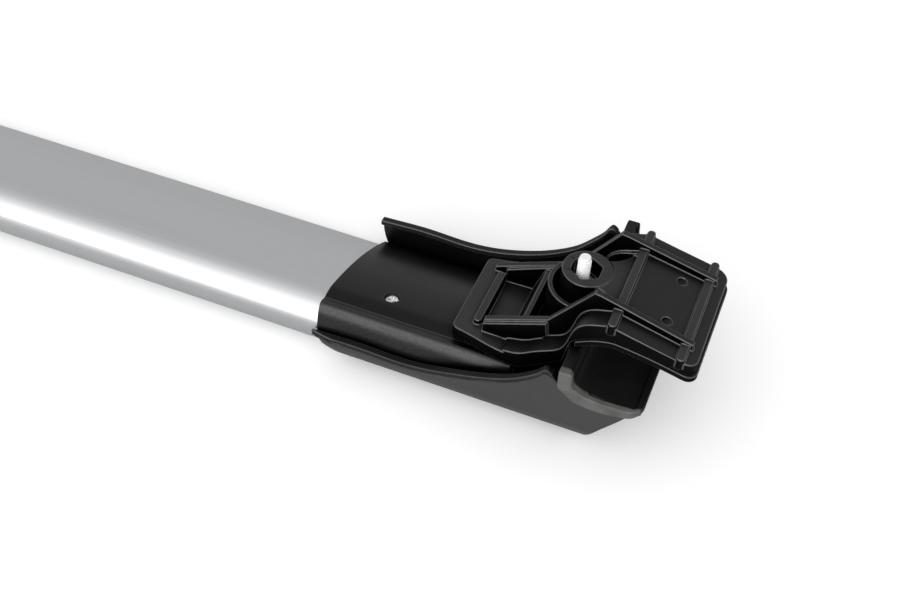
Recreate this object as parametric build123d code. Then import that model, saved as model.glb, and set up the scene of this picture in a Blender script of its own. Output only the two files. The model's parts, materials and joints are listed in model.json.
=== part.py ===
from build123d import *
import math
import os

# Roof rack crossbar, lying upside down as it is shown: the underside and the rail clamps face up.
# Z = 0 is the table, X runs along the bar, and the thick leading edge of the bar is at -Y.
# The right foot is drawn in foot coordinates: x is the distance outboard of its wall tips.

# Overall sizes, in millimetres
bar_length = 920.0
bar_in_foot = 96.5
foot_station = bar_length / 2 - bar_in_foot

# Bar section: a nose circle and a tail circle joined by a flat and a long crown arc
nose_radius = 13.8
nose_centre_y = -25.5
tail_radius = 1.7
tail_centre_y = 36.5
crown_radius = 175.0
bar_wall = 2.0
bar_web = 2.0
bar_web_places = (-12.0, 9.0)

# Foot shell
shell_floor = 2.6
shell_wall = 2.2
bulkhead = 2.4
bulkhead_top = 43.5
half_width = 44.5
half_width_height = 19.3
wall_flare = 0.18
belly_radii = (19.0, 8.0)
trough_radii = (14.0, 3.0)
shell_end_setback = 0.8
bay_radii = (2.0, 2.0)
tip_plan_swell = 2.0
tip_plan_middle = 0.45
flank_run = 40.0
shell_hollow = ((127.0, 5.0), (133.0, 5.0), (150.0, 32.0), (150.0, 36.0), (127.0, 36.0))
shell_hollow_half = 36.5
tip_half_width = 41.8
tip_plan_run = 25.0
near_top_line = (
    (0.6, 19.2), (26.0, 20.4), (46.0, 19.6), (60.0, 21.4), (71.0, 24.6), (84.0, 29.0),
    (95.0, 34.0), (103.0, 39.2), (109.0, 44.6), (114.0, 50.6),
)
far_top_line = (
    (-0.5, 19.2), (26.0, 20.2), (46.0, 19.6), (60.0, 20.8), (71.0, 23.2), (84.0, 27.4),
    (95.0, 32.6), (103.0, 38.0), (109.0, 44.0), (114.0, 50.2),
)
peak = (116.6, 53.4)
peak_shoulder = (119.6, 51.6)
wall_end = (121.6, 48.2)
near_rake = ((4.3, 16.6), (8.2, 12.4), (11.0, 9.8), (15.0, 4.0), (20.0, 0.0))
far_rake = ((0.3, 16.6), (3.1, 7.2), (7.0, 2.2), (14.0, 0.0))
end_points = ((130.0, 0.0), (136.0, 7.0), (143.0, 18.6), (149.0, 28.0), (153.5, 35.6))
seal_height = 2.6
seal_lip = 1.4
clearance = 0.2
overshoot = 1.0
overlap = 0.01

# Rail saddle
saddle_x = 122.6
saddle_wall = 6.0
saddle_top = 57.5
saddle_half_width = 52.6
saddle_under = ((122.6, 47.4), (130.0, 41.4), (143.0, 39.8), (155.0, 41.8))
saddle_floor = ((129.2, 50.4), (132.0, 47.8), (137.0, 46.4), (144.0, 45.8), (150.0, 46.0))
saddle_end_x = 160.6
saddle_end_floor = 46.8
saddle_end_under = 43.2
saddle_corner_radius = 7.0
saddle_rim = 3.2
saddle_recess = (
    (127.4, 54.7), (127.4, 54.2), (131.8, 48.8), (136.2, 46.2), (145.2, 44.8), (157.2, 45.2),
    (157.2, 59.2), (127.4, 59.2),
)

# Liner over the bar
liner_gap = 0.2
liner_thickness = 2.1
liner_start = 2.5
liner_end = 97.0
liner_far_low = 7.2
nose_roll = ((-31.0, 31.5), (-35.6, 33.1), (-38.6, 27.6), (-40.1, 20.0), (-39.6, 13.0))
nose_roll_radii = (2.6, 14.0, 20.0)
liner_screw_place = (31.3, -18.0)

# Clamp: the bolt and the jaw stand on one line, offset towards the leading edge
clamp_y = -6.3
bolt_x = 116.8
bolt_diameter = 6.0
bolt_length = 65.0
bolt_head_diameter = 10.0
bolt_head_height = 6.0
bolt_socket_flats = 5.0
bolt_socket_depth = 3.2
bolt_hole_diameter = 6.8
bolt_running_clearance = 0.05
bolt_tip_z = 82.0
bolt_tip_bevel = 0.8
washer_clearance = 0.2
washer_diameter = 12.5
washer_thickness = 1.4
web_thickness = 5.0
nut_flats = 10.0
nut_height = 5.0
nut_seat_clearance = 0.15

# Clamp jaw: side profile of its plate, x and z
jaw_left = 66.0
jaw_right = 176.4
flat_end_x = 84.0
under_flat_x = 94.0
jaw_under_left = 33.5
jaw_plate_top = 39.8
jaw_top_line = (
    (92.0, 40.7), (98.6, 42.8), (105.3, 46.6), (111.9, 50.4), (117.4, 53.8), (120.6, 60.0),
    (123.2, 69.0),
    (126.3, 72.8), (136.6, 77.0),
)
jaw_under_line = ((98.0, 33.7), (103.0, 35.6), (110.5, 40.6), (118.4, 46.2), (122.4, 60.2))
pad_under_left = (124.4, 62.6)
pad_under_apex = (141.0, 69.0)
pad_under_right_z = 60.4
pad_slope = 0.24
pad_panel_x = 141.0
pad_panel_z = 76.4
jaw_outline = ((66.0, 24.2), (76.0, 26.3), (84.0, 28.4), (92.0, 30.0), (102.0, 31.0))
jaw_half_width = 31.0
jaw_left_corner = 3.4
jaw_right_corner = 5.6
jaw_skin = 3.0

# Jaw ribs, all measured across from the clamp line
rail_thickness = 3.0
rail_root = 17.2
rail_splay = 1.26
rail_start = 71.0
near_rail_start = 79.7
rail_end = 172.6
rail_foot = (71.6, 42.4)
near_rail_bend = (109.0, 59.0)
far_rail_bend = (109.0, 57.8)
rail_knee = (127.6, 83.8)
rail_crest = (131.0, 83.2)
rail_end_z = 72.2
rail_low = (
    (172.6, 66.2), (141.0, 71.0), (126.0, 66.0), (118.4, 50.0), (98.0, 36.5), (71.6, 36.5),
)
rail_ledge = ((77.6, 43.8), (109.0, 57.7), (110.0, 50.5), (98.0, 36.5), (77.6, 36.5))
rail_ledge_width = 1.5
rail_lap = 0.4
left_rib_x = (74.2, 78.0)
left_rib_top = 42.6
left_rib_reach = (17.3, 14.6)
tray_web = ((91.0, 35.5), (96.6, 51.4), (99.0, 51.4), (99.0, 35.5))
boss_x = 118.6
boss_radius = 11.4
boss_top = 75.5
hex_lead_flats = 12.6
hex_lead_x = 118.2
hex_lead_depth = 8.6
ring_radius = 16.6
ring_wall = 2.2
ring_top = 66.4
deck_top = 75.2
deck_end = 136.8
deck_edge = ((118.6, 9.8), (127.8, 9.8), (131.7, 12.6), (135.0, 18.0), (136.8, 18.0))
jaw_end = 182.0
rib_width = 3.8
rib_places = (138.6, 169.2)
rib_half = 32.0
rib_rise = 1.9
rib_depth = 6.0
peg_x = 158.4
peg_offset = 13.0
peg_radius = 2.0
peg_clearance = 0.1
peg_low = 64.5
peg_sink = 0.6

# Rubber pad under the jaw
pad_thickness = 3.0
pad_proud = 1.0

# Cover on the hidden top side of the foot: lid, hinge pin and lock
pocket_x = (105.0, 128.0)
pocket_y = (-23.0, 11.0)
lid_gap = 0.4
lid_thickness = 3.0
lid_recess = 0.5
lid_lap = 4.0
lid_rim = 2.0
pin_ear = 4.0
lid_swing_radius = 3.4
pin_radius = 1.2
pin_clearance = 0.06
lock_radius = 5.5
lock_length = 6.0
lock_clearance = 0.06
lock_x = 120.6
keyway = (1.4, 5.0, 2.5)

# Screws
liner_screw_radius = 2.3
liner_screw_head_radius = 3.0
liner_screw_bore_radius = 3.6
liner_screw_length = 12.0
liner_screw_recess = 1.9
bar_screw_places = ((38.0, 14.0), (78.0, 14.0))
bar_screw_radius = 2.1
bar_screw_head_radius = 4.0
bar_screw_length = 10.0
bar_screw_recess = 0.3
screw_clearance = 0.1
driver_slot = (1.1, 4.4, 1.2)

# End plug in the bar
plug_flange = 2.0
plug_depth = 12.0
plug_clearance = 0.15

# Sizes that follow from the others
nose_centre = (nose_centre_y, shell_floor + nose_radius)
tail_centre = (tail_centre_y, shell_floor + tail_radius)
web_top_z = bolt_tip_z - bolt_length + washer_thickness + web_thickness
web_under_z = web_top_z - web_thickness
head_seat_z = web_under_z - washer_thickness
span = 400.0
tall = 140.0


def box(x_range, y_range, z_range):
    """A box between three pairs of limits."""
    size = [high - low for low, high in (x_range, y_range, z_range)]
    middle = [(high + low) / 2 for low, high in (x_range, y_range, z_range)]
    return Pos(*middle) * Box(*size)


def rod(x, y, z_low, z_high, radius):
    """An upright cylinder between two heights."""
    return Pos(x, y, (z_low + z_high) / 2) * Cylinder(radius, z_high - z_low)


def hexagon_rod(x, y, z_low, z_high, flats):
    """An upright hexagonal prism with two flats facing along x."""
    face = Pos(x, y, z_low) * RegularPolygon(flats / 2, 6, major_radius=False, rotation=30)
    return extrude(face, z_high - z_low, dir=(0, 0, 1))


def side_prism(edges, y_low, y_high):
    """A closed x-z outline pulled along y."""
    face = Plane.XZ * make_face(edges)
    return Pos(0, y_low, 0) * extrude(face, y_high - y_low, dir=(0, 1, 0))


def outline_prism(points, y_low, y_high):
    """A straight-sided x-z outline pulled along y."""
    return side_prism(Polyline(*points, close=True), y_low, y_high)


def cone(x, y, z_low, z_high, r_low, r_high):
    """An upright cone between two heights."""
    return Pos(x, y, (z_low + z_high) / 2) * Cone(r_low, r_high, z_high - z_low)


# Bar section

def crown_centre():
    """Centre of the crown arc that holds both the nose and the tail circle inside it."""
    nose_reach = crown_radius - nose_radius
    tail_reach = crown_radius - tail_radius
    run = tail_centre[0] - nose_centre[0]
    rise = tail_centre[1] - nose_centre[1]
    distance = math.hypot(run, rise)
    along = (nose_reach ** 2 - tail_reach ** 2 + distance ** 2) / (2 * distance)
    aside = math.sqrt(nose_reach ** 2 - along ** 2)
    return (
        nose_centre[0] + (along * run + aside * rise) / distance,
        nose_centre[1] + (along * rise - aside * run) / distance,
    )


def bar_outline(offset_out):
    """The bar's outline as a flat face in y and z, moved out by a distance."""
    centre = crown_centre()

    def on_circle(middle, radius, toward):
        length = math.hypot(toward[0], toward[1])
        return (middle[0] + toward[0] / length * radius, middle[1] + toward[1] / length * radius)

    nose_r = nose_radius + offset_out
    tail_r = tail_radius + offset_out
    crown_r = crown_radius + offset_out
    nose_way = (nose_centre[0] - centre[0], nose_centre[1] - centre[1])
    tail_way = (tail_centre[0] - centre[0], tail_centre[1] - centre[1])
    crown_way = (nose_way[0] + tail_way[0], nose_way[1] + tail_way[1])
    nose_top = on_circle(nose_centre, nose_r, nose_way)
    tail_top = on_circle(tail_centre, tail_r, tail_way)
    crown_mid = on_circle(centre, crown_r, crown_way)
    nose_low = (nose_centre[0], nose_centre[1] - nose_r)
    tail_low = (tail_centre[0], tail_centre[1] - tail_r)
    nose_front = (nose_centre[0] - nose_r, nose_centre[1])
    tail_back = on_circle(tail_centre, tail_r, (1, -0.3))
    edges = (
        Line(nose_low, tail_low)
        + ThreePointArc(tail_low, tail_back, tail_top)
        + ThreePointArc(tail_top, crown_mid, nose_top)
        + ThreePointArc(nose_top, nose_front, nose_low)
    )
    return make_face(edges)


def along_x(face, x_low, x_high):
    """A y-z face pulled along x between two stations."""
    placed = Plane.YZ.offset(x_low) * face
    return extrude(placed, x_high - x_low, dir=(1, 0, 0))


def bar_hollows(shrink):
    """The bar's inner cells between its webs, made smaller by a clearance."""
    cells = offset(bar_outline(0), -bar_wall - shrink)
    for place in bar_web_places:
        cells -= Pos(place, nose_centre[1]) * Rectangle(bar_web + 2 * shrink, 3 * nose_radius)
    return cells


# Foot shell

def half_width_at(z):
    """Half the shell's width at a height."""
    return half_width + wall_flare * (z - half_width_height)


def shell_section(inset, floor_z, radii):
    """Trough section of the shell, moved in from its outer faces, rounded near and far."""
    low = half_width_at(floor_z) - inset
    high = half_width_at(tall) - inset
    points = ((-low, floor_z), (low, floor_z), (high, tall), (-high, tall))
    face = make_face(Polyline(*points, close=True))
    for side, radius in enumerate(radii):
        bottom = face.vertices().filter_by(lambda v: v.Y < floor_z + overlap)
        face = fillet(bottom.sort_by(Axis.X)[-side], radius)
    return face


def wall_top(top_line, drop):
    """The line along the top of a side wall, lowered by a distance."""
    points = [(x, z - drop) for x, z in (*top_line, peak, peak_shoulder)]
    return Spline(*points, tangents=((1, 0.04), (1, -1.1))), points[0], points[-1]


def saddle_bed(drop):
    """The line that the saddle lies on, lowered by a distance."""
    points = [(x, z - drop) for x, z in (*saddle_under, (saddle_end_x, saddle_end_under))]
    line = Line(points[0], points[1]) + Spline(*points[1:], tangents=((1, -0.3), (1, 0.3)))
    return line, points[0], points[-1]


def near_half():
    """All the space on the near side of the middle."""
    return box((-span, span), (-span, 0), (-span, span))


def shell_side(top_line, rake):
    """One side's outline of the shell, rail shelf and raked end included."""
    top, top_start, shoulder = wall_top(top_line, 0)
    shelf, shelf_start, shelf_end = saddle_bed(clearance)
    edges = (
        top
        + Line(shoulder, wall_end)
        + Line(wall_end, shelf_start)
        + shelf
        + Line(shelf_end, end_points[-1])
        + Spline(*reversed(end_points))
        + Line(end_points[0], rake[-1])
        + Spline(*reversed(rake))
        + Polyline(rake[0], (top_start[0], rake[0][1]), top_start)
    )
    return side_prism(edges, -span / 2, span / 2)


def seal_band(top_line):
    """The strip along the top of a side wall that its edging seal takes up."""
    top, top_start, top_end = wall_top(top_line, 0)
    low, low_start, low_end = wall_top(top_line, seal_height)
    edges = top + Line(top_end, low_end) + low + Line(low_start, top_start)
    return side_prism(edges, -span / 2, span / 2)


def seal_bands():
    """The strips of both side walls, each on its own side of the middle."""
    near = seal_band(near_top_line) & near_half()
    return near + (seal_band(far_top_line) - near_half())


def shell_plan():
    """The shell's outline seen from above: a drawn-in near tip and a rounded outboard end."""
    far = tip_plan_run
    wide = saddle_half_width + shell_wall
    out = saddle_end_x - shell_end_setback
    corner = saddle_corner_radius
    swell = (far, half_width + tip_plan_swell)
    right = Polyline(swell, (far + flank_run, wide), (out, wide), (out, 0), (-overshoot, 0))
    drawn_in = (
        Polyline((-overshoot, 0), (-overshoot, tip_half_width), (0, tip_half_width))
        + ThreePointArc((0, tip_half_width), (far * tip_plan_middle, half_width), swell)
    )
    straight = Polyline((-overshoot, 0), (-overshoot, swell[1]), swell)
    halves = []
    for tip in (drawn_in, straight):
        face = make_face(tip + right)
        corner_vertex = face.vertices().sort_by(lambda v: v.X + v.Y)[-1]
        halves.append(fillet(corner_vertex, corner))
    both = halves[1] + mirror(halves[0], about=Plane.XZ)
    return extrude(both, tall, dir=(0, 0, 1))


def shell_outside():
    """The whole outer form of the foot."""
    section = along_x(shell_section(0, 0, belly_radii), -overshoot, saddle_end_x + overshoot)
    near = shell_side(near_top_line, near_rake) & near_half()
    sides = near + (shell_side(far_top_line, far_rake) - near_half())
    return sides & section & shell_plan()


def foot_cavity():
    """Everything inside the walls: the bar's trough, the clamp bay and the bulkhead's notch."""
    bay_start = liner_end + overshoot
    trough = along_x(shell_section(shell_wall, shell_floor, trough_radii), -overshoot,
                     bay_start + overshoot)
    bay = along_x(shell_section(shell_wall, web_top_z, bay_radii), bay_start, saddle_x - bulkhead)
    notch = along_x(shell_section(shell_wall, bulkhead_top, bay_radii), bay_start, saddle_x)
    return trough + bay + notch


def lid_box(grow):
    """The lid's plate, or the recess that it fills."""
    return box(
        (pocket_x[0] - lid_lap - grow, pocket_x[1] + grow),
        (pocket_y[0] - lid_rim - grow, pocket_y[1] + lid_rim + grow),
        (lid_recess, lid_recess + lid_thickness + grow),
    )


def lid_pin_rod(radius, extra):
    """A rod on the lid's hinge line, reaching past both ends of the lid."""
    pin_x = pocket_x[0] - lid_lap + 2 * pin_radius
    pin_z = lid_recess + lid_thickness - pin_radius
    middle = (pocket_y[0] + pocket_y[1]) / 2
    length = pocket_y[1] - pocket_y[0] + 2 * (lid_rim + lid_gap + extra)
    return Pos(pin_x, middle, pin_z) * Rot(90, 0, 0) * Cylinder(radius, length)


def make_shell():
    """The moulded foot: trough, clamp bay, saddle shelf and the pocket for the bolt's head."""
    shell = shell_outside() - seal_bands() - foot_cavity()
    shell -= box(pocket_x, pocket_y, (-overshoot, web_under_z))
    shell -= outline_prism(shell_hollow, -shell_hollow_half, shell_hollow_half)
    shell -= lid_box(lid_gap) + Pos(0, 0, -lid_recess - overshoot) * lid_box(lid_gap)
    shell -= rod(bolt_x, clamp_y, 0, tall, bolt_hole_diameter / 2)
    for x, y in bar_screw_places:
        shell -= bar_screw_form(x, y, screw_clearance)
    shell -= lid_pin_rod(lid_swing_radius, 0)
    return shell - lid_pin_rod(pin_radius, pin_ear)


def make_seals():
    """The two rubber edgings along the tops of the side walls, near and far."""
    inner = along_x(shell_section(shell_wall + seal_lip, 0, bay_radii), -overshoot,
                    saddle_end_x + overshoot)
    strip = (shell_outside() & seal_bands()) - inner
    return strip & near_half(), strip - near_half()


def make_saddle():
    """The rubber saddle that lies on the car's rail."""
    out = saddle_end_x
    wall_out = saddle_x + saddle_wall
    under, under_start, under_end = saddle_bed(0)
    edges = (
        Line((saddle_x, saddle_top), under_start)
        + under
        + Line(under_end, (out, saddle_end_floor))
        + Spline((out, saddle_end_floor), *reversed(saddle_floor))
        + Line(saddle_floor[0], (wall_out, saddle_top))
        + Line((wall_out, saddle_top), (saddle_x, saddle_top))
    )
    saddle = side_prism(edges, -saddle_half_width, saddle_half_width)
    corners = saddle.edges().filter_by(Axis.Z).group_by(Axis.X)[-1]
    saddle = fillet(corners, saddle_corner_radius)
    inside = saddle_half_width - saddle_rim
    return saddle - outline_prism(saddle_recess, -inside, inside)


# Liner

def make_liner():
    """The plastic cover over the bar inside the foot, with its thick roll along the nose."""
    keep = Rectangle(span, span, align=(Align.MIN, Align.MIN))
    middle = Pos(nose_roll[0][0] - overshoot, nose_centre[1]) * Rectangle(
        overshoot - nose_roll[0][0], tall, align=(Align.MIN, Align.MIN))
    tail = Pos(0, liner_far_low) * keep
    cover = bar_outline(liner_gap + liner_thickness) & (middle + tail)
    corner = (nose_roll[0][0], nose_roll[-1][1])
    roll = make_face(Polyline(*nose_roll, corner, close=True))
    for point, radius in zip(nose_roll[1:-1], nose_roll_radii):
        roll = fillet(roll.vertices().sort_by_distance(point)[0], radius)
    sheet = cover + roll - bar_outline(liner_gap)
    liner = along_x(sheet, liner_start, liner_end)
    x, y = liner_screw_place
    return liner - liner_screw_form(x, y, screw_clearance)


def crown_height(y):
    """Height of the bar's crown surface at a place across."""
    centre = crown_centre()
    return centre[1] + math.sqrt(crown_radius ** 2 - (y - centre[0]) ** 2)


def liner_screw_form(x, y, grow):
    """Countersunk screw through the liner and the bar's wall, standing on the crown surface."""
    head_z = crown_height(y) + liner_gap + liner_thickness - liner_screw_recess
    neck_z = head_z - liner_screw_head_radius + liner_screw_radius
    shank = rod(x, y, head_z - liner_screw_length, neck_z + overlap, liner_screw_radius + grow)
    head = cone(x, y, neck_z, head_z, liner_screw_radius + grow, liner_screw_head_radius + grow)
    if grow:
        head += rod(x, y, head_z, tall, liner_screw_bore_radius)
    return shank + head


def make_liner_screw():
    """The liner's screw with its cross drive."""
    x, y = liner_screw_place
    screw = liner_screw_form(x, y, 0)
    top = screw.bounding_box().max.Z
    wide, long, deep = driver_slot
    for turn in (0, 90):
        screw -= Pos(x, y, top) * Rot(0, 0, turn) * Box(long, wide, 2 * deep)
    return screw


def bar_screw_form(x, y, grow):
    """A countersunk screw with its head at the table side, or the hole that takes it."""
    head_end = bar_screw_recess + bar_screw_head_radius - bar_screw_radius
    screw = cone(x, y, bar_screw_recess, head_end, bar_screw_head_radius + grow,
                 bar_screw_radius + grow)
    screw += rod(x, y, head_end - overlap, bar_screw_length, bar_screw_radius + grow)
    if grow:
        screw += rod(x, y, -overshoot, bar_screw_recess, bar_screw_head_radius + grow)
    return screw


def make_bar_screws():
    """Two countersunk screws from the hidden side, through the shell's floor into the bar."""
    screws = []
    wide, long, deep = driver_slot
    for x, y in bar_screw_places:
        screw = bar_screw_form(x, y, 0)
        for turn in (0, 90):
            cut = Box(long, wide, 2 * deep)
            screw -= Pos(x, y, bar_screw_recess) * Rot(0, 0, turn) * cut
        screws.append(screw)
    return screws


# Bar

def make_bar():
    """The extruded bar, with the holes for its screws at both ends."""
    bar = along_x(bar_outline(0), -bar_length / 2, bar_length / 2)
    bar -= along_x(bar_hollows(0), -bar_length, bar_length)
    for side in (1, -1):
        x, y = liner_screw_place
        bar -= liner_screw_form(side * (foot_station + x), y, screw_clearance)
        for x, y in bar_screw_places:
            bar -= bar_screw_form(side * (foot_station + x), y, screw_clearance)
    return bar


def make_plug():
    """The plug that closes the bar's end, with a tongue in each of its cells."""
    flange = along_x(bar_outline(-plug_clearance), bar_in_foot, bar_in_foot + plug_flange)
    start = bar_in_foot - plug_depth
    tongues = along_x(bar_hollows(plug_clearance), start, bar_in_foot + overlap)
    hollow = along_x(bar_hollows(plug_clearance + bar_wall), start - overshoot, bar_in_foot)
    return flange + tongues - hollow


# Jaw

def jaw_plan(grow):
    """The jaw's outline seen from above, as an upright prism about the clamp line."""
    points = [(x, y + grow) for x, y in jaw_outline]
    side = Spline(*points, tangents=((1, 0.2), (1, 0)))
    wide = jaw_half_width + grow
    face = make_face(
        Line((jaw_left, 0), points[0])
        + side
        + Line(points[-1], (jaw_right + grow, wide))
        + Line((jaw_right + grow, wide), (jaw_right + grow, 0))
        + Line((jaw_right + grow, 0), (jaw_left, 0))
    )
    outer = face.vertices().filter_by(lambda v: v.Y > 1)
    face = fillet(outer.sort_by(Axis.X)[-1], jaw_right_corner)
    outer = face.vertices().filter_by(lambda v: v.Y > 1)
    face = fillet(outer.sort_by(Axis.X)[0], jaw_left_corner)
    both = face + mirror(face, about=Plane.XZ)
    return Pos(0, clamp_y, 0) * extrude(both, tall, dir=(0, 0, 1))


def panel_z(x):
    """Height of the pad's sloping top panel."""
    return pad_panel_z - pad_slope * (x - pad_panel_x)


def jaw_under_edges():
    """The jaw's underside from its left end to its right end."""
    start = (under_flat_x, jaw_under_left)
    return (
        Line((0, jaw_under_left), start)
        + Spline(start, *jaw_under_line, tangents=((1, 0), (0.2, 1)))
        + Line(jaw_under_line[-1], pad_under_left)
        + pad_under_edges()
    )


def pad_under_edges():
    """The line between the jaw and its pad."""
    return (
        Spline(pad_under_left, pad_under_apex, tangents=((1, 0.6), (1, 0.1)))
        + Spline(pad_under_apex, (jaw_end, pad_under_right_z), tangents=((1, -0.1), (1, -0.28)))
    )


def above_jaw_under(rise):
    """Outline of everything above the jaw's underside, raised by a distance."""
    top = Polyline(
        (jaw_end, pad_under_right_z + rise), (jaw_end, tall), (0, tall), (0, jaw_under_left + rise)
    )
    return Pos(0, rise) * jaw_under_edges() + top


def jaw_envelope():
    """Everything above the jaw's underside and within its plan."""
    return side_prism(above_jaw_under(0), -span / 2, span / 2) & jaw_plan(0)


def jaw_body():
    """The jaw's plate without its ribs, following its side profile and its plan."""
    flat_end = (flat_end_x, jaw_plate_top)
    top = (
        Polyline(
            (jaw_end, pad_under_right_z), (jaw_end, panel_z(jaw_end)),
            (pad_panel_x, panel_z(pad_panel_x)), jaw_top_line[-1],
        )
        + Spline(*reversed(jaw_top_line), flat_end, tangents=((-1, -0.4), (-1, 0)))
        + Polyline(flat_end, (0, jaw_plate_top), (0, jaw_under_left))
    )
    return side_prism(jaw_under_edges() + top, -span / 2, span / 2) & jaw_plan(0)


def inner_tray():
    """The space between the rails above the jaw's thin skin."""
    inside = rail_root - rail_lap
    tray = side_prism(above_jaw_under(jaw_skin), clamp_y - inside, clamp_y + inside)
    return tray & box((left_rib_x[1] - overshoot, deck_end), (-span, span), (0, tall))


def make_deck():
    """The raised deck between the boss and the first rib, which widens to meet the rails."""
    edge = Spline(*deck_edge[:-1], tangents=((1, 0), (1, 3)))
    half = make_face(
        Line((deck_edge[0][0], 0), deck_edge[0])
        + edge
        + Polyline(deck_edge[-2], deck_edge[-1], (deck_end, 0), (deck_edge[0][0], 0))
    )
    return Pos(0, clamp_y, 0) * extrude(half + mirror(half, about=Plane.XZ), deck_top,
                                        dir=(0, 0, 1))


def make_rails():
    """The two long ribs that run along the jaw, splayed a little, with a step on one side."""
    step = rail_ledge_width + overlap
    rails = []
    for bend, step_at in ((near_rail_bend, rail_thickness - overlap),
                          (far_rail_bend, -rail_ledge_width)):
        profile = (rail_foot, bend, rail_knee, rail_crest, (rail_end, rail_end_z), *rail_low)
        rail = outline_prism(profile, 0, rail_thickness)
        rail += outline_prism(rail_ledge, step_at, step_at + step)
        rail = Pos(0, rail_root, 0) * rail
        rails.append(rail.rotate(Axis((rail_start, rail_root, 0), (0, 0, 1)), rail_splay))
    near, far = rails
    near = mirror(near, about=Plane.XZ) & box((near_rail_start, span), (-span, 0), (0, tall))
    return Pos(0, clamp_y, 0) * near, Pos(0, clamp_y, 0) * far


def make_jaw():
    """The ribbed clamp jaw."""
    jaw = jaw_body() - inner_tray()
    envelope = jaw_envelope()
    inside = (clamp_y - rail_root - rail_lap, clamp_y + rail_root + rail_lap)
    jaw += make_deck() & envelope
    jaw += outline_prism(tray_web, *inside)
    for rail in make_rails():
        jaw += rail & envelope
    rib_low = jaw_under_left + overshoot
    rib_ends = (clamp_y - left_rib_reach[0], clamp_y + left_rib_reach[1])
    rib_radius = (left_rib_x[1] - left_rib_x[0]) / 2
    jaw += box(left_rib_x, rib_ends, (rib_low, left_rib_top))
    jaw += rod(left_rib_x[0] + rib_radius, rib_ends[0], rib_low, left_rib_top, rib_radius)
    ring = rod(boss_x, clamp_y, 0, ring_top, ring_radius)
    ring -= rod(boss_x, clamp_y, 0, tall, ring_radius - ring_wall)
    jaw += ring & box((0, boss_x), inside, (0, tall)) & envelope
    jaw += rod(boss_x, clamp_y, 0, boss_top, boss_radius) & envelope
    for place in rib_places:
        jaw += pad_rib(place)
    nut_floor = boss_top - hex_lead_depth - nut_height
    jaw -= hexagon_rod(hex_lead_x, clamp_y, boss_top - hex_lead_depth, tall, hex_lead_flats)
    jaw -= hexagon_rod(bolt_x, clamp_y, nut_floor, tall, nut_flats + 2 * nut_seat_clearance)
    jaw -= rod(bolt_x, clamp_y, 0, tall, bolt_hole_diameter / 2)
    for side in (1, -1):
        jaw -= rod(peg_x, clamp_y + side * peg_offset, 0, tall, peg_radius + peg_clearance)
    return jaw


def pad_rib(place):
    """A rib across the pad, a little above its panel, with rounded ends."""
    top = panel_z(place) + rib_rise
    low = top - rib_depth
    radius = rib_width / 2
    reach = rib_half - radius
    rib = box((place - radius, place + radius), (clamp_y - reach, clamp_y + reach), (low, top))
    for side in (1, -1):
        rib += rod(place, clamp_y + side * reach, low, top, radius)
    return rib


def make_pad():
    """The rubber pad under the jaw, with two pegs that hold it in the jaw's holes."""
    upper = pad_under_edges()
    lower = Pos(0, -pad_thickness) * upper
    ends = Curve()
    for x, z in (pad_under_left, (jaw_end, pad_under_right_z)):
        ends += Line((x, z), (x, z - pad_thickness))
    pad = side_prism(upper + lower + ends, -span / 2, span / 2) & jaw_plan(pad_proud)
    for side in (1, -1):
        pad += rod(peg_x, clamp_y + side * peg_offset, peg_low, panel_z(peg_x) - peg_sink,
                   peg_radius)
    return pad


# Fasteners of the clamp

def make_bolt():
    """The socket head bolt that stands on the shell's web, with its tip up."""
    radius = bolt_diameter / 2
    low = head_seat_z - bolt_head_height
    tip_low = bolt_tip_z - bolt_tip_bevel
    bolt = rod(bolt_x, clamp_y, low, head_seat_z, bolt_head_diameter / 2)
    bolt += rod(bolt_x, clamp_y, head_seat_z, tip_low, radius)
    bolt += cone(bolt_x, clamp_y, tip_low, bolt_tip_z, radius, radius - bolt_tip_bevel)
    return bolt - hexagon_rod(bolt_x, clamp_y, 0, low + bolt_socket_depth, bolt_socket_flats)


def make_washer():
    """The flat washer between the bolt's head and the web."""
    washer = rod(bolt_x, clamp_y, head_seat_z, web_under_z, washer_diameter / 2)
    return washer - rod(bolt_x, clamp_y, 0, tall, bolt_diameter / 2 + washer_clearance)


def make_nut():
    """The captive nut at the bottom of the jaw's hexagonal pocket."""
    low = boss_top - hex_lead_depth - nut_height
    nut = hexagon_rod(bolt_x, clamp_y, low, low + nut_height, nut_flats)
    return nut - rod(bolt_x, clamp_y, 0, tall, bolt_diameter / 2 + bolt_running_clearance)


# Lid on the hidden side

def make_lid():
    """The flap that covers the bolt's head, with a bore for its pin and one for the lock."""
    lid = lid_box(0) - lid_pin_rod(pin_radius + pin_clearance, pin_ear)
    return lid - rod(lock_x, clamp_y, 0, tall, lock_radius + lock_clearance)


def make_pin():
    """The lid's hinge pin."""
    return lid_pin_rod(pin_radius, pin_ear)


def make_lock():
    """The lock barrel in the lid, with its keyway."""
    lock = rod(lock_x, clamp_y, lid_recess, lid_recess + lock_length, lock_radius)
    wide, long, deep = keyway
    return lock - Pos(lock_x, clamp_y, lid_recess) * Box(wide, long, 2 * deep)


# Write the nodes

def write(name, shape):
    """Write one node's STEP file."""
    export_step(shape, "parts/" + name + ".step")


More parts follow.
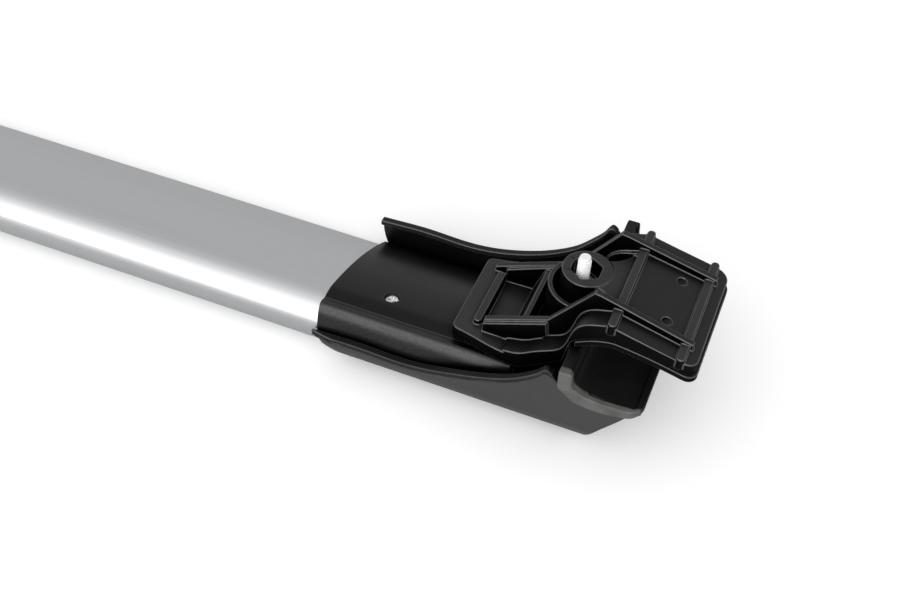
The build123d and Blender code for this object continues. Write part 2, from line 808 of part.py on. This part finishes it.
os.makedirs("parts", exist_ok=True)
write("crossbar", make_bar())
near_seal, far_seal = make_seals()
foot_nodes = {
    "foot_shell": make_shell(),
    "bar_liner": make_liner(),
    "liner_screw": make_liner_screw(),
    "bar_screws": Compound(make_bar_screws()),
    "near_edge_seal": near_seal,
    "far_edge_seal": far_seal,
    "rail_saddle": make_saddle(),
    "clamp_jaw": make_jaw(),
    "jaw_pad": make_pad(),
    "jaw_nut": make_nut(),
    "clamp_bolt": make_bolt(),
    "bolt_washer": make_washer(),
    "access_lid": make_lid(),
    "lid_pin": make_pin(),
    "lock_barrel": make_lock(),
    "bar_end_plug": make_plug(),
}
for name, shape in foot_nodes.items():
    placed = Pos(foot_station, 0, 0) * shape
    write(name + "_right", placed)
    write(name + "_left", mirror(placed, about=Plane.YZ))
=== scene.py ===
# %% [markdown]
# A roof rack crossbar lies upside down on a white table. The bar is an aluminium extrusion, and at
# each end a black moulded foot holds a clamp that grips the side rail of a car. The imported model
# already has every part in its true place, so this file only dresses it: it mixes the finishes,
# softens the edges, winds the bolts' thread, and then sets the table and the light.

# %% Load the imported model
import bpy
import json
import math
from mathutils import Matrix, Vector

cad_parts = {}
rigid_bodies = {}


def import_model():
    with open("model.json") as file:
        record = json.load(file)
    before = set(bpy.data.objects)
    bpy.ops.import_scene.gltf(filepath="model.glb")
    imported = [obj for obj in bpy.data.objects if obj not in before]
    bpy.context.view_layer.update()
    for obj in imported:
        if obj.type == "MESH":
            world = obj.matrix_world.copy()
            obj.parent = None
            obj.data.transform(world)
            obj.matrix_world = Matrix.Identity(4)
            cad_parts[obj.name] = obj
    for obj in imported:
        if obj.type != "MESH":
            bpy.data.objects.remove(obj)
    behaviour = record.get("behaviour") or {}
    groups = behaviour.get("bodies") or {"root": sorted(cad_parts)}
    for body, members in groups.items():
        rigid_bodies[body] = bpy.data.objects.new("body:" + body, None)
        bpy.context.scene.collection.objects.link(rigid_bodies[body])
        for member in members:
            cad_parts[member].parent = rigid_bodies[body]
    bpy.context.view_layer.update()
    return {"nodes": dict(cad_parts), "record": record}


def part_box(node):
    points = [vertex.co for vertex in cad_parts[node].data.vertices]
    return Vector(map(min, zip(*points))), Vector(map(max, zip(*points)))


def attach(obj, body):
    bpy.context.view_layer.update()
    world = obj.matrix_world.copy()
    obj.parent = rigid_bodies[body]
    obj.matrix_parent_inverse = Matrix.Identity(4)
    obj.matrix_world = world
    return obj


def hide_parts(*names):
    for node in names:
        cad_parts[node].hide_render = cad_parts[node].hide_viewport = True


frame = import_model()

# %% [markdown]
# The camera stands above the near side of the right foot and looks down at it. Its place and turn
# were worked out from the straight lines of the bar and the round boss of the clamp, so a plain
# camera with a 50 mm lens and no shift sees the same frame as the photograph.

# %% Camera
CAMERA_PLACE = (0.55887, -0.40317, 0.46176)
CAMERA_TURN_DEGREES = (43.859, -2.854, 21.638)
LENS_MM = 50
SENSOR_MM = 36
NEAREST_SEEN = 0.01

bpy.ops.object.camera_add(location=CAMERA_PLACE,
                          rotation=[math.radians(turn) for turn in CAMERA_TURN_DEGREES])
camera = bpy.context.object
camera.name = "photo_camera"
camera.data.lens = LENS_MM
camera.data.sensor_width = SENSOR_MM
camera.data.clip_start = NEAREST_SEEN
bpy.context.scene.camera = camera
print("camera at", tuple(camera.location))

# %% [markdown]
# Shader maths reads best as ordinary sums. A wire is what leaves a node: adding or multiplying two
# wires puts a Math node behind them. A wire also knows how to keep itself between 0 and 1, and how
# to give one part of a vector.

# %% Wires
class Wire:
    """The output of a node, which can be used in sums."""

    def __init__(self, web, socket):
        self.web = web
        self.socket = socket

    def joined(self, operation, *values):
        return self.web.node("ShaderNodeMath", {"operation": operation}, dict(enumerate(values)))

    def __add__(self, other):
        return self.joined("ADD", self, other)

    def __radd__(self, other):
        return self.joined("ADD", other, self)

    def __sub__(self, other):
        return self.joined("SUBTRACT", self, other)

    def __rsub__(self, other):
        return self.joined("SUBTRACT", other, self)

    def __mul__(self, other):
        return self.joined("MULTIPLY", self, other)

    def __rmul__(self, other):
        return self.joined("MULTIPLY", other, self)

    def __pow__(self, other):
        return self.joined("POWER", self, other)

    def __abs__(self):
        return self.joined("ABSOLUTE", self)

    def clamped(self):
        """The same value, held between 0 and 1."""
        return self.web.node("ShaderNodeClamp", {}, {"Value": self})

    def part(self, axis):
        """The X, Y or Z of a vector."""
        return self.web.node("ShaderNodeSeparateXYZ", {}, {0: self}, out=axis)


print("a wire can be added, taken away, multiplied, raised, clamped and split")

# %% [markdown]
# A web is a tree of nodes, and every node comes into it through a single method, with the node's
# settings first and its sockets after them. A finish is a web with a shader in it: one material
# for one surface of the rack. The world that lights the rack is a web as well.

# %% Webs and finishes
class Web:
    """A tree of nodes."""

    def __init__(self, tree):
        self.tree = tree

    def put(self, socket, value):
        """Link a wire to a socket, or set the socket to a value."""
        if isinstance(value, Wire):
            self.tree.links.new(value.socket, socket)
        else:
            socket.default_value = value

    def node(self, kind, settings=None, sockets=None, out=0):
        """Add a node, and give the wire that leaves it."""
        made = self.tree.nodes.new(kind)
        for name, value in (settings or {}).items():
            setattr(made, name, value)
        for name, value in (sockets or {}).items():
            self.put(made.inputs[name], value)
        return Wire(self, made.outputs[out])


class Finish(Web):
    """One material, with its shader and the nodes that feed it."""

    def __init__(self, name, **fixed):
        self.material = bpy.data.materials.new(name)
        self.material.use_nodes = True
        super().__init__(self.material.node_tree)
        self.shader = self.tree.nodes["Principled BSDF"]
        self.feed(**fixed)

    def feed(self, **values):
        """Set or link the shader's sockets."""
        for name, value in values.items():
            self.put(self.shader.inputs[name.replace("_", " ")], value)

    def mix_in(self, mask, other):
        """Show the finish's own shader where the mask is 0, and another where it is 1."""
        own = Wire(self, self.shader.outputs[0])
        mixed = self.node("ShaderNodeMixShader", {}, {0: mask, 1: own, 2: other})
        self.put(self.tree.nodes["Material Output"].inputs["Surface"], mixed)


print("webs hold the nodes of the finishes and of the light")

# %% [markdown]
# All finishes start from the same few things: the place on the piece, a cloud of noise at some
# scale, a mix of two colours and a small bump. The noise follows the piece's own coordinates, so
# it stays on the piece when the jaw slides or the lid opens.

# %% Noise, colour mix and bump
def place_on(finish, stretch=(1, 1, 1)):
    """The place on the piece, stretched along the axes."""
    spot = finish.node("ShaderNodeTexCoord", out="Object")
    return finish.node("ShaderNodeMapping", {}, {"Vector": spot, "Scale": stretch})


def noise(finish, scale, detail, stretch=(1, 1, 1)):
    """Soft noise between 0 and 1, with its scale in patches per metre."""
    sockets = {"Vector": place_on(finish, stretch), "Scale": scale, "Detail": detail}
    return finish.node("ShaderNodeTexNoise", {}, sockets)


def blend_colour(finish, mask, first, second):
    """One colour where the mask is 0 and another where it is 1."""
    first, second = [end if isinstance(end, Wire) else (*end, 1) for end in (first, second)]
    return finish.node("ShaderNodeMix", {"data_type": "RGBA"}, {0: mask, 6: first, 7: second},
                       out=2)


def bump(finish, height, distance):
    """A normal that follows a height."""
    return finish.node("ShaderNodeBump", {}, {"Height": height, "Distance": distance})


print("noise, colour mix and bump")

# %% [markdown]
# The bar is satin anodised aluminium. Drawing the metal through its die leaves faint lines along
# the bar, so the noise here is stretched until each patch is a long streak. The streaks change the
# roughness a little and the height hardly at all.

# %% Satin aluminium
STREAKS = 900
STREAK_STRETCH = (0.006, 1, 1)
FINE_GRAIN = 2600
GRAIN_STRETCH = (0.3, 1, 1)
STREAK_DEPTH = 0.00002

satin_aluminium = Finish("satin_aluminium", Metallic=1.0)
streaks = noise(satin_aluminium, STREAKS, 3.0, stretch=STREAK_STRETCH)
grain = noise(satin_aluminium, FINE_GRAIN, 1.0, stretch=GRAIN_STRETCH)
satin_aluminium.feed(
    Base_Color=blend_colour(satin_aluminium, streaks, (0.60, 0.61, 0.62), (0.70, 0.71, 0.72)),
    Roughness=0.30 + 0.10 * streaks + 0.05 * grain,
    Normal=bump(satin_aluminium, streaks + 0.4 * grain, STREAK_DEPTH),
)
print(satin_aluminium.material.name)

# %% [markdown]
# The first mask looks round each point for a short way: it is 1 in a narrow recess and 0 on open
# faces. A dull black shader is mixed in by it as painted shade, so the recesses of the moulded
# parts, and on some parts their walls, read a full black. A second mask finds the faces that look
# up or down, where the moulded plastics are painted paler as painted light, while their walls stay
# black.

# %% Masks for painted shade in recesses, and of flats
RECESS_REACH = 0.012
RECESS_GAIN = 1.6
RECESS_START = 0.2
# A near black for the painted shade in recesses and walls.
PAINTED_SHADE_BLACK = (0.001, 0.001, 0.001, 1)


def recess_mask(finish):
    """1 in narrow recesses, 0 in the open."""
    open_share = finish.node("ShaderNodeAmbientOcclusion", {"samples": 8},
                             {"Distance": RECESS_REACH}, out="AO")
    return ((1.0 - open_share) * RECESS_GAIN - RECESS_START).clamped()


def flat_mask(finish, start, steep):
    """0 on walls, rising to 1 on faces that look straight up or down."""
    rise = finish.node("ShaderNodeNewGeometry", out="True Normal").part("Z")
    return ((abs(rise) - start) * steep).clamped()


def paint_shade(finish, walls):
    """Mix a dull black shader into the recesses, and in part into the walls, as painted shade."""
    dull = finish.node("ShaderNodeBsdfDiffuse", {}, {"Color": PAINTED_SHADE_BLACK})
    painted_shade_share = recess_mask(finish) + walls * (1.0 - flat_mask(finish, start=0.1, steep=2.0))
    finish.mix_in(painted_shade_share.clamped(), dull)


print("recesses reach", RECESS_REACH, "m")

# %% [markdown]
# The foot's outer faces catch the light of the tent, so their colour is painted paler than the
# insides of the same walls: a painted light. No normal tells the two apart, so this mask goes by
# the place: a point is on the outside where it lies further from the bar's middle line than the
# flared side wall's own middle.

# %% Mask of the painted light on the outer faces
OUTER_FACE = 0.0399
FLARE = 0.18
OUTER_STEEP = 2000.0


def painted_outer_light_mask(finish):
    """1 on the outer faces of the foot, where light is painted, 0 inside it."""
    aside = abs(place_on(finish).part("Y"))
    above = place_on(finish).part("Z")
    return ((aside - FLARE * above - OUTER_FACE) * OUTER_STEEP).clamped()


print("outer faces start at", OUTER_FACE, "m from the middle line")

# %% [markdown]
# The foot, the liner and the jaw are black plastics, each a little different. They share one
# recipe: a fine moulded grain, larger clouds of slightly uneven gloss, painted light on outer,
# sloping and level faces, and painted shade in recesses. The three colours given are the walls' own
# black and the painted light of sloping faces and of level faces.

# %% Black plastics
CLOUDS = 60


def black_plastic(name, wall_and_painted_light_shades, outer, gloss, roughness, grain_size, grain_depth, walls):
    """A moulded black plastic with grain, uneven gloss, painted light and painted shade."""
    finish = Finish(name, IOR=1.5, Specular_IOR_Level=gloss)
    clouds = noise(finish, CLOUDS, 3.0)
    fine = noise(finish, 1 / grain_size, 2.0)
    # The first colour is the walls' own black; the other two are painted light on sloping and level
    # faces.
    wall, painted_slope_light, level = [[shade] * 3 for shade in wall_and_painted_light_shades]
    uneven = 0.7 + 0.6 * clouds
    # Painted light: the outer faces are painted paler than the insides of the walls.
    colour = blend_colour(finish, painted_outer_light_mask(finish) * uneven, wall, [outer] * 3)
    sloping = flat_mask(finish, start=0.7, steep=5.0)
    colour = blend_colour(finish, sloping * uneven, colour, painted_slope_light)
    flat = flat_mask(finish, start=0.976, steep=50.0)
    colour = blend_colour(finish, flat * uneven, colour, level)
    finish.feed(Base_Color=colour, Roughness=roughness + 0.16 * clouds,
                Normal=bump(finish, fine + 0.3 * clouds, grain_depth))
    # Painted shade: a dull black is mixed into recesses, and in part into walls.
    paint_shade(finish, walls)
    return finish


# The walls number is the share of painted shade mixed into the walls.
shell_plastic = black_plastic(
    "shell_plastic", wall_and_painted_light_shades=(0.002, 0.003, 0.003), outer=0.034, gloss=0.45, roughness=0.26,
    grain_size=0.0006, grain_depth=0.00002, walls=0)
liner_plastic = black_plastic(
    "liner_plastic", wall_and_painted_light_shades=(0.001, 0.001, 0.001), outer=0.001, gloss=0.26, roughness=0.24,
    grain_size=0.0009, grain_depth=0.00005, walls=0)
jaw_plastic = black_plastic(
    "jaw_plastic", wall_and_painted_light_shades=(0.001, 0.006, 0.020), outer=0.001, gloss=0.35, roughness=0.28,
    grain_size=0.0005, grain_depth=0.00003, walls=0.75)
print("three plastics")

# %% [markdown]
# The liner's leading edge ends in a thick roll, which shines in a band of broken light. A thin
# coat over the plastic makes that shine. Its weight is a socket that noise can feed, so the coat
# lies on the roll alone, in patches.

# %% Shine on the liner's roll
ROLL_START = -0.033
ROLL_STEEP = 700.0

roll = ((ROLL_START - place_on(liner_plastic).part("Y")) * ROLL_STEEP).clamped()
liner_plastic.feed(Coat_Roughness=0.3, Coat_Weight=roll * (0.2 + noise(liner_plastic, 900, 3.0)))
print("the roll starts at", ROLL_START, "m")

# %% [markdown]
# The narrow rounded edges of a moulding are polished by the mould and rubbed by hands, and they
# catch the light as thin bright lines. The bevel gives its faces a material slot of their own, so
# these edges get a glossier finish, and a paler colour that is partly wear and partly a painted
# highlight.

# %% Rubbed edges with painted highlights
def wear_and_highlight_edge(name, dark, pale_wear_and_highlight, gloss):
    """A glossy black for rounded edges, paler in patches: partly wear and partly a painted
    highlight.
    """
    finish = Finish(name, IOR=1.5, Specular_IOR_Level=gloss)
    scuffs_and_highlights = noise(finish, 220, 4.0)
    # The paler colour is partly wear and partly a painted highlight.
    finish.feed(Base_Color=blend_colour(finish, scuffs_and_highlights, [dark] * 3, [pale_wear_and_highlight] * 3),
                Roughness=0.2 + 0.15 * scuffs_and_highlights,
                Normal=bump(finish, scuffs_and_highlights, 0.00002))
    return finish


jaw_edge = wear_and_highlight_edge("jaw_edge", dark=0.004, pale_wear_and_highlight=0.06, gloss=0.9)
shell_edge = wear_and_highlight_edge("shell_edge", dark=0.003, pale_wear_and_highlight=0.012, gloss=0.6)
seal_edge = wear_and_highlight_edge("seal_edge", dark=0.01, pale_wear_and_highlight=0.05, gloss=0.8)
print("three edges")

# %% [markdown]
# The seals, the saddle and the pad are black rubber. Rubber is duller than plastic and shows a
# dusty bloom, so its roughness is high and its colour is lifted in patches.

# %% Rubber
def black_rubber(name, dark, light, walls):
    """Rubber with a dusty bloom, and painted shade in recesses and walls."""
    finish = Finish(name, IOR=1.45, Specular_IOR_Level=0.35)
    bloom = noise(finish, 140, 4.0)
    pores = noise(finish, 1500, 2.0)
    finish.feed(
        Base_Color=blend_colour(finish, bloom, [dark] * 3, [light] * 3),
        Roughness=0.42 + 0.2 * bloom,
        Normal=bump(finish, pores + 0.5 * bloom, 0.00003),
    )
    # Painted shade: a dull black is mixed into recesses, and in part into walls.
    paint_shade(finish, walls)
    return finish


# The walls number is the share of painted shade mixed into the walls.
seal_rubber = black_rubber("seal_rubber", dark=0.003, light=0.007, walls=0)
pad_rubber = black_rubber("pad_rubber", dark=0.001, light=0.003, walls=0.7)
saddle_rubber = black_rubber("saddle_rubber", dark=0.001, light=0.003, walls=0)
print("three rubbers")

# %% [markdown]
# The saddle's outer rim at the nose side lies towards the bright side of the tent, and is painted
# much paler than its black inside: a painted light. The rim is everything beyond a line that runs
# along the bar, and the painted light is patchy, so it is laid over the colour that the rubber
# already has.

# %% Painted light on the saddle's rim
RIM_START = -0.0485
RIM_STEEP = 900.0

rim = ((RIM_START - place_on(saddle_rubber).part("Y")) * RIM_STEEP).clamped()
# Painted light: the rim is painted paler, in patches.
rim_painted_light = blend_colour(saddle_rubber, noise(saddle_rubber, 180, 3.0),
                    (0.045, 0.045, 0.043), (0.14, 0.14, 0.135))
rubber_colour = Wire(saddle_rubber, saddle_rubber.shader.inputs["Base Color"].links[0].from_socket)
saddle_rubber.feed(Base_Color=blend_colour(saddle_rubber, rim, rubber_colour, rim_painted_light))
print("the rim starts at", RIM_START, "m")

# %% [markdown]
# The clamp's bolt and nut are bright zinc plated steel, and the lock is polished. Turned steel
# keeps very fine marks, so a little noise breaks up the reflections.

# %% Metals of the fasteners
def bright_metal(name, colour, roughness, metallic):
    """Plated metal with faint marks."""
    finish = Finish(name, Metallic=metallic)
    marks = noise(finish, 1800, 3.0)
    dull = [0.8 * part for part in colour]
    finish.feed(
        Base_Color=blend_colour(finish, marks, dull, colour),
        Roughness=roughness + 0.12 * marks,
        Normal=bump(finish, marks, 0.00001),
    )
    return finish


zinc_steel = bright_metal("zinc_steel", (0.92, 0.92, 0.91), roughness=0.2, metallic=0.75)
lock_metal = bright_metal("lock_metal", (0.80, 0.80, 0.80), roughness=0.12, metallic=1.0)
print("two metals")

# %% [markdown]
# The CAD nodes are never changed, so each is copied, and the copy will stand in for it. A CAD mesh
# is loose triangles: merging the corners that touch joins them into one skin, whose edges the
# modifiers can find. The copy keeps the node's place in its mesh, with its own origin at zero.

# %% Copy a node
MERGE_REACH = 0.00001


def copy_of(node, name):
    """A merged copy of a CAD node as a new object."""
    bpy.ops.object.select_all(action="DESELECT")
    source = frame["nodes"][node]
    source.select_set(True)
    bpy.context.view_layer.objects.active = source
    bpy.ops.object.duplicate()
    piece = bpy.context.object
    bpy.ops.object.parent_clear(type="CLEAR_KEEP_TRANSFORM")
    bpy.ops.object.transform_apply(location=True, rotation=True, scale=True)
    piece.name = name
    bpy.ops.object.mode_set(mode="EDIT")
    bpy.ops.mesh.select_all(action="SELECT")
    bpy.ops.mesh.remove_doubles(threshold=MERGE_REACH)
    bpy.ops.object.mode_set(mode="OBJECT")
    return piece


print("touching corners merge within", MERGE_REACH, "m")

# %% [markdown]
# A moulded part never has a knife edge, so a narrow bevel rounds every edge that turns sharply. It
# works on the small triangles of the CAD mesh, because on large many-sided faces it folded the
# floor of the jaw's tray. Loop slide is off, because it drew dark slits between holes. A mitre may
# push a corner outwards, so every vertex is then brought back into the piece's own box.

# %% Round the edges
SHARP = math.radians(32)


def soften(piece, radius, edge_slot=-1):
    """Round the edges of the selected piece, and mark the rounded faces with a slot."""
    if radius:
        places = [vertex.co.copy() for vertex in piece.data.vertices]
        low = [min(place[axis] for place in places) for axis in range(3)]
        high = [max(place[axis] for place in places) for axis in range(3)]
        edge = piece.modifiers.new("rounded_edges", "BEVEL")
        edge.width = radius
        edge.segments = 2
        edge.limit_method = "ANGLE"
        edge.angle_limit = SHARP
        edge.use_clamp_overlap = False
        edge.loop_slide = False
        edge.miter_outer = "MITER_ARC"
        edge.material = edge_slot
        edge.face_strength_mode = "FSTR_ALL"
        bpy.ops.object.modifier_apply(modifier=edge.name)
        for vertex in piece.data.vertices:
            vertex.co = [min(max(vertex.co[axis], low[axis]), high[axis]) for axis in range(3)]


print("edges sharper than", round(math.degrees(SHARP)), "degrees are rounded")

# %% [markdown]
# Smooth shading blends the normals across a bevel, and weighted normals give the large flats the
# stronger say, so that flats look flat and only the rounded edges shade. Each piece then takes its
# finish, and its edge finish where there is one, rides on its node's body and hides the node.

# %% Shade a piece and put it in its node's place
SMOOTH = math.radians(35)
BODY_OF = {name: body for body, names in frame["record"]["behaviour"]["bodies"].items()
           for name in names}


def settle(piece, node, finish, edge_finish=None):
    """Shade the selected piece, give it its finish and put it in the node's place."""
    bpy.ops.object.shade_smooth_by_angle(angle=SMOOTH)
    level = piece.modifiers.new("even_flats", "WEIGHTED_NORMAL")
    level.keep_sharp = True
    level.use_face_influence = True
    bpy.ops.object.modifier_apply(modifier=level.name)
    piece.material_slots[0].material = finish.material
    if edge_finish:
        piece.material_slots[1].material = edge_finish.material
    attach(piece, BODY_OF[node])
    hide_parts(node)
    print(piece.name, len(piece.data.polygons), "faces")


# %% [markdown]
# The model's bolt is a plain rod, and a real one has a thread. The upper half of the rod is cut
# off, and a core as thin as the root of the thread takes its place. One small triangle, swept
# upwards round that core by a Screw modifier, makes the whole thread in a single ridge.

# %% Ridge of the thread
PITCH = 0.001
THREAD_TURNS = 30
STEPS_A_TURN = 24
CREST_RADIUS = 0.00298
RIDGE_SIZE = 0.00054


def thread_ridge(x, y, low):
    """A closed ridge that winds upwards from a height."""
    bpy.ops.object.select_all(action="DESELECT")
    quarter = math.radians(-90)
    bpy.ops.mesh.primitive_circle_add(vertices=3, radius=RIDGE_SIZE, rotation=(quarter, quarter, 0),
                                      location=(CREST_RADIUS - RIDGE_SIZE, 0, 0))
    ridge = bpy.context.object
    bpy.ops.object.transform_apply(location=True, rotation=True, scale=True)
    sweep = ridge.modifiers.new("sweep", "SCREW")
    sweep.steps = STEPS_A_TURN
    sweep.render_steps = STEPS_A_TURN
    sweep.iterations = THREAD_TURNS
    sweep.screw_offset = PITCH
    bpy.ops.object.modifier_apply(modifier=sweep.name)
    bpy.ops.object.mode_set(mode="EDIT")
    bpy.ops.mesh.select_all(action="SELECT")
    bpy.ops.mesh.fill_holes(sides=3)
    bpy.ops.mesh.normals_make_consistent(inside=False)
    bpy.ops.object.mode_set(mode="OBJECT")
    ridge.location = (x, y, low)
    bpy.ops.object.transform_apply(location=True, rotation=True, scale=True)
    return ridge


print("thread of", THREAD_TURNS, "turns,", PITCH, "m a turn")

# %% [markdown]
# The core is a rounded rod that starts one turn below the cut, inside the bolt's own shank. Bolt,
# core and ridge are joined into one piece, so they share one finish and turn as one.

# %% Clamp bolts
ROOT_RADIUS = 0.0025
CORE_SIDES = 40
TIP_ROUNDING = 0.0005
HEAD_ROUNDING = 0.0002
RUN_OUT_TURNS = 1.5


def thread_core(x, y, low, high):
    """The rod inside the thread, with a rounded tip."""
    bpy.ops.object.select_all(action="DESELECT")
    bpy.ops.mesh.primitive_cylinder_add(vertices=CORE_SIDES, radius=ROOT_RADIUS, depth=high - low,
                                        location=(x, y, (low + high) / 2))
    core = bpy.context.object
    bpy.ops.object.transform_apply(location=True, rotation=True, scale=True)
    soften(core, TIP_ROUNDING)
    return core


def threaded_bolt(node, name):
    """The bolt's own head and shank, with a threaded upper half."""
    low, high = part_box(node)
    x, y = (low[0] + high[0]) / 2, (low[1] + high[1]) / 2
    cut = high[2] - PITCH * (THREAD_TURNS + RUN_OUT_TURNS)
    bolt = copy_of(node, name)
    bpy.ops.object.mode_set(mode="EDIT")
    bpy.ops.mesh.select_all(action="SELECT")
    bpy.ops.mesh.bisect(plane_co=(x, y, cut), plane_no=(0, 0, 1), clear_outer=True, use_fill=True)
    bpy.ops.object.mode_set(mode="OBJECT")
    soften(bolt, HEAD_ROUNDING)
    ridge = thread_ridge(x, y, cut)
    core = thread_core(x, y, cut - PITCH, high[2])
    bpy.ops.object.select_all(action="DESELECT")
    for part in (ridge, core, bolt):
        part.select_set(True)
    bpy.context.view_layer.objects.active = bolt
    bpy.ops.object.join()
    settle(bolt, node, zinc_steel)


for side in ("right", "left"):
    threaded_bolt(f"clamp_bolt_{side}", f"clamp_bolt_{side}_threaded")

# %% [markdown]
# Every other part keeps its own shape, so a table is enough: the finish of each part, the radius
# of its edges in metres, and the finish of the rounded edges where it differs. Rubber and moulded
# parts get wide edges, the bar and the small metal pieces get narrow ones, and the small screws
# stay sharp.

# %% Dress every part
def dress(node, name, finish, radius, edge_finish=None):
    """Copy a node, round its edges and give it a finish."""
    piece = copy_of(node, name)
    if edge_finish:
        piece.data.materials.append(edge_finish.material)
    soften(piece, radius, 1 if edge_finish else -1)
    settle(piece, node, finish, edge_finish)


dress("crossbar", "satin_bar", satin_aluminium, 0.0003)
FINISHES = {
    "foot_shell": (shell_plastic, 0.0006, shell_edge),
    "bar_liner": (liner_plastic, 0.0004, shell_edge),
    "liner_screw": (zinc_steel, 0),
    "bar_screws": (zinc_steel, 0),
    "near_edge_seal": (seal_rubber, 0.0005, seal_edge),
    "far_edge_seal": (seal_rubber, 0.0005, seal_edge),
    "rail_saddle": (saddle_rubber, 0.0008),
    "clamp_jaw": (jaw_plastic, 0.0005, jaw_edge),
    "jaw_pad": (pad_rubber, 0.0004, seal_edge),
    "jaw_nut": (zinc_steel, 0.0003),
    "bolt_washer": (zinc_steel, 0.0002),
    "access_lid": (shell_plastic, 0.0004),
    "lid_pin": (zinc_steel, 0.0002),
    "lock_barrel": (lock_metal, 0.0003),
    "bar_end_plug": (shell_plastic, 0.0004),
}
for side in ("right", "left"):
    for part, look in FINISHES.items():
        dress(f"{part}_{side}", f"{part}_{side}_dressed", *look)

# %% [markdown]
# The table is a white sheet. Seen by the camera it glows a little by itself under ordinary white
# paint, so that it comes out white and still catches the shadow of the rack. To every other ray
# it is plain light grey paper, so it adds no more light to the rack than real paper would.

# %% White table
TABLE_SIZE = 8
TABLE_PLACE = (0.3, 0, -0.0005)
GLOW = 0.15
WHITE_PAINT = (0.92, 0.92, 0.92, 1)
GREY_PAPER = (0.5, 0.5, 0.5, 1)

bpy.ops.object.select_all(action="DESELECT")
bpy.ops.mesh.primitive_plane_add(size=TABLE_SIZE, location=TABLE_PLACE)
table = bpy.context.object
table.name = "white_table"
white = Finish("white_paper", Base_Color=GREY_PAPER, Roughness=0.9)
seen = white.node("ShaderNodeLightPath", out="Is Camera Ray")
glow = white.node("ShaderNodeEmission", {}, {"Color": (1, 1, 1, 1), "Strength": GLOW})
paint = white.node("ShaderNodeBsdfDiffuse", {}, {"Color": WHITE_PAINT})
white.mix_in(seen, white.node("ShaderNodeAddShader", {}, {0: glow, 1: paint}))
table.data.materials.append(white.material)
print("table", TABLE_SIZE, "m wide")

# %% [markdown]
# The light in the photograph is that of a white tent with its brightest wall behind the camera. No
# lamp stands inside it: the tent is the world itself. Its glow depends only on how far a direction
# turns away from the camera's side, and it falls off quickly towards the back wall.

# %% The tent that lights the scene
BACK_WALL = 0.58
FRONT_WALL = 2.2
FALL_START = 0.7
FALL_REACH = 1.6
FALL_POWER = 3.0

world = bpy.data.worlds.new("pale_tent")
bpy.context.scene.world = world
world.use_nodes = True
tent = Web(world.node_tree)
across = tent.node("ShaderNodeTexCoord", out="Generated").part("Y")
nearness = (FALL_START - across) * (1 / FALL_REACH)
nearness = tent.node("ShaderNodeMath", {"operation": "MAXIMUM"}, {0: nearness, 1: 0.0})
background = tent.tree.nodes["Background"]
tent.put(background.inputs["Strength"], nearness ** FALL_POWER * FRONT_WALL + BACK_WALL)
tent.put(background.inputs["Color"], (1, 1, 1, 1))
bpy.context.scene.view_settings.view_transform = "Standard"
brightest = BACK_WALL + FRONT_WALL * ((FALL_START + 1) / FALL_REACH) ** FALL_POWER
print("light from", BACK_WALL, "at the back to", round(brightest, 2), "behind the camera")

# %% [markdown]
# The dressed rack has to be as large as the imported one. At the end the view layer is brought
# up to date.

# %% Bring the view layer up to date
bpy.context.view_layer.update()
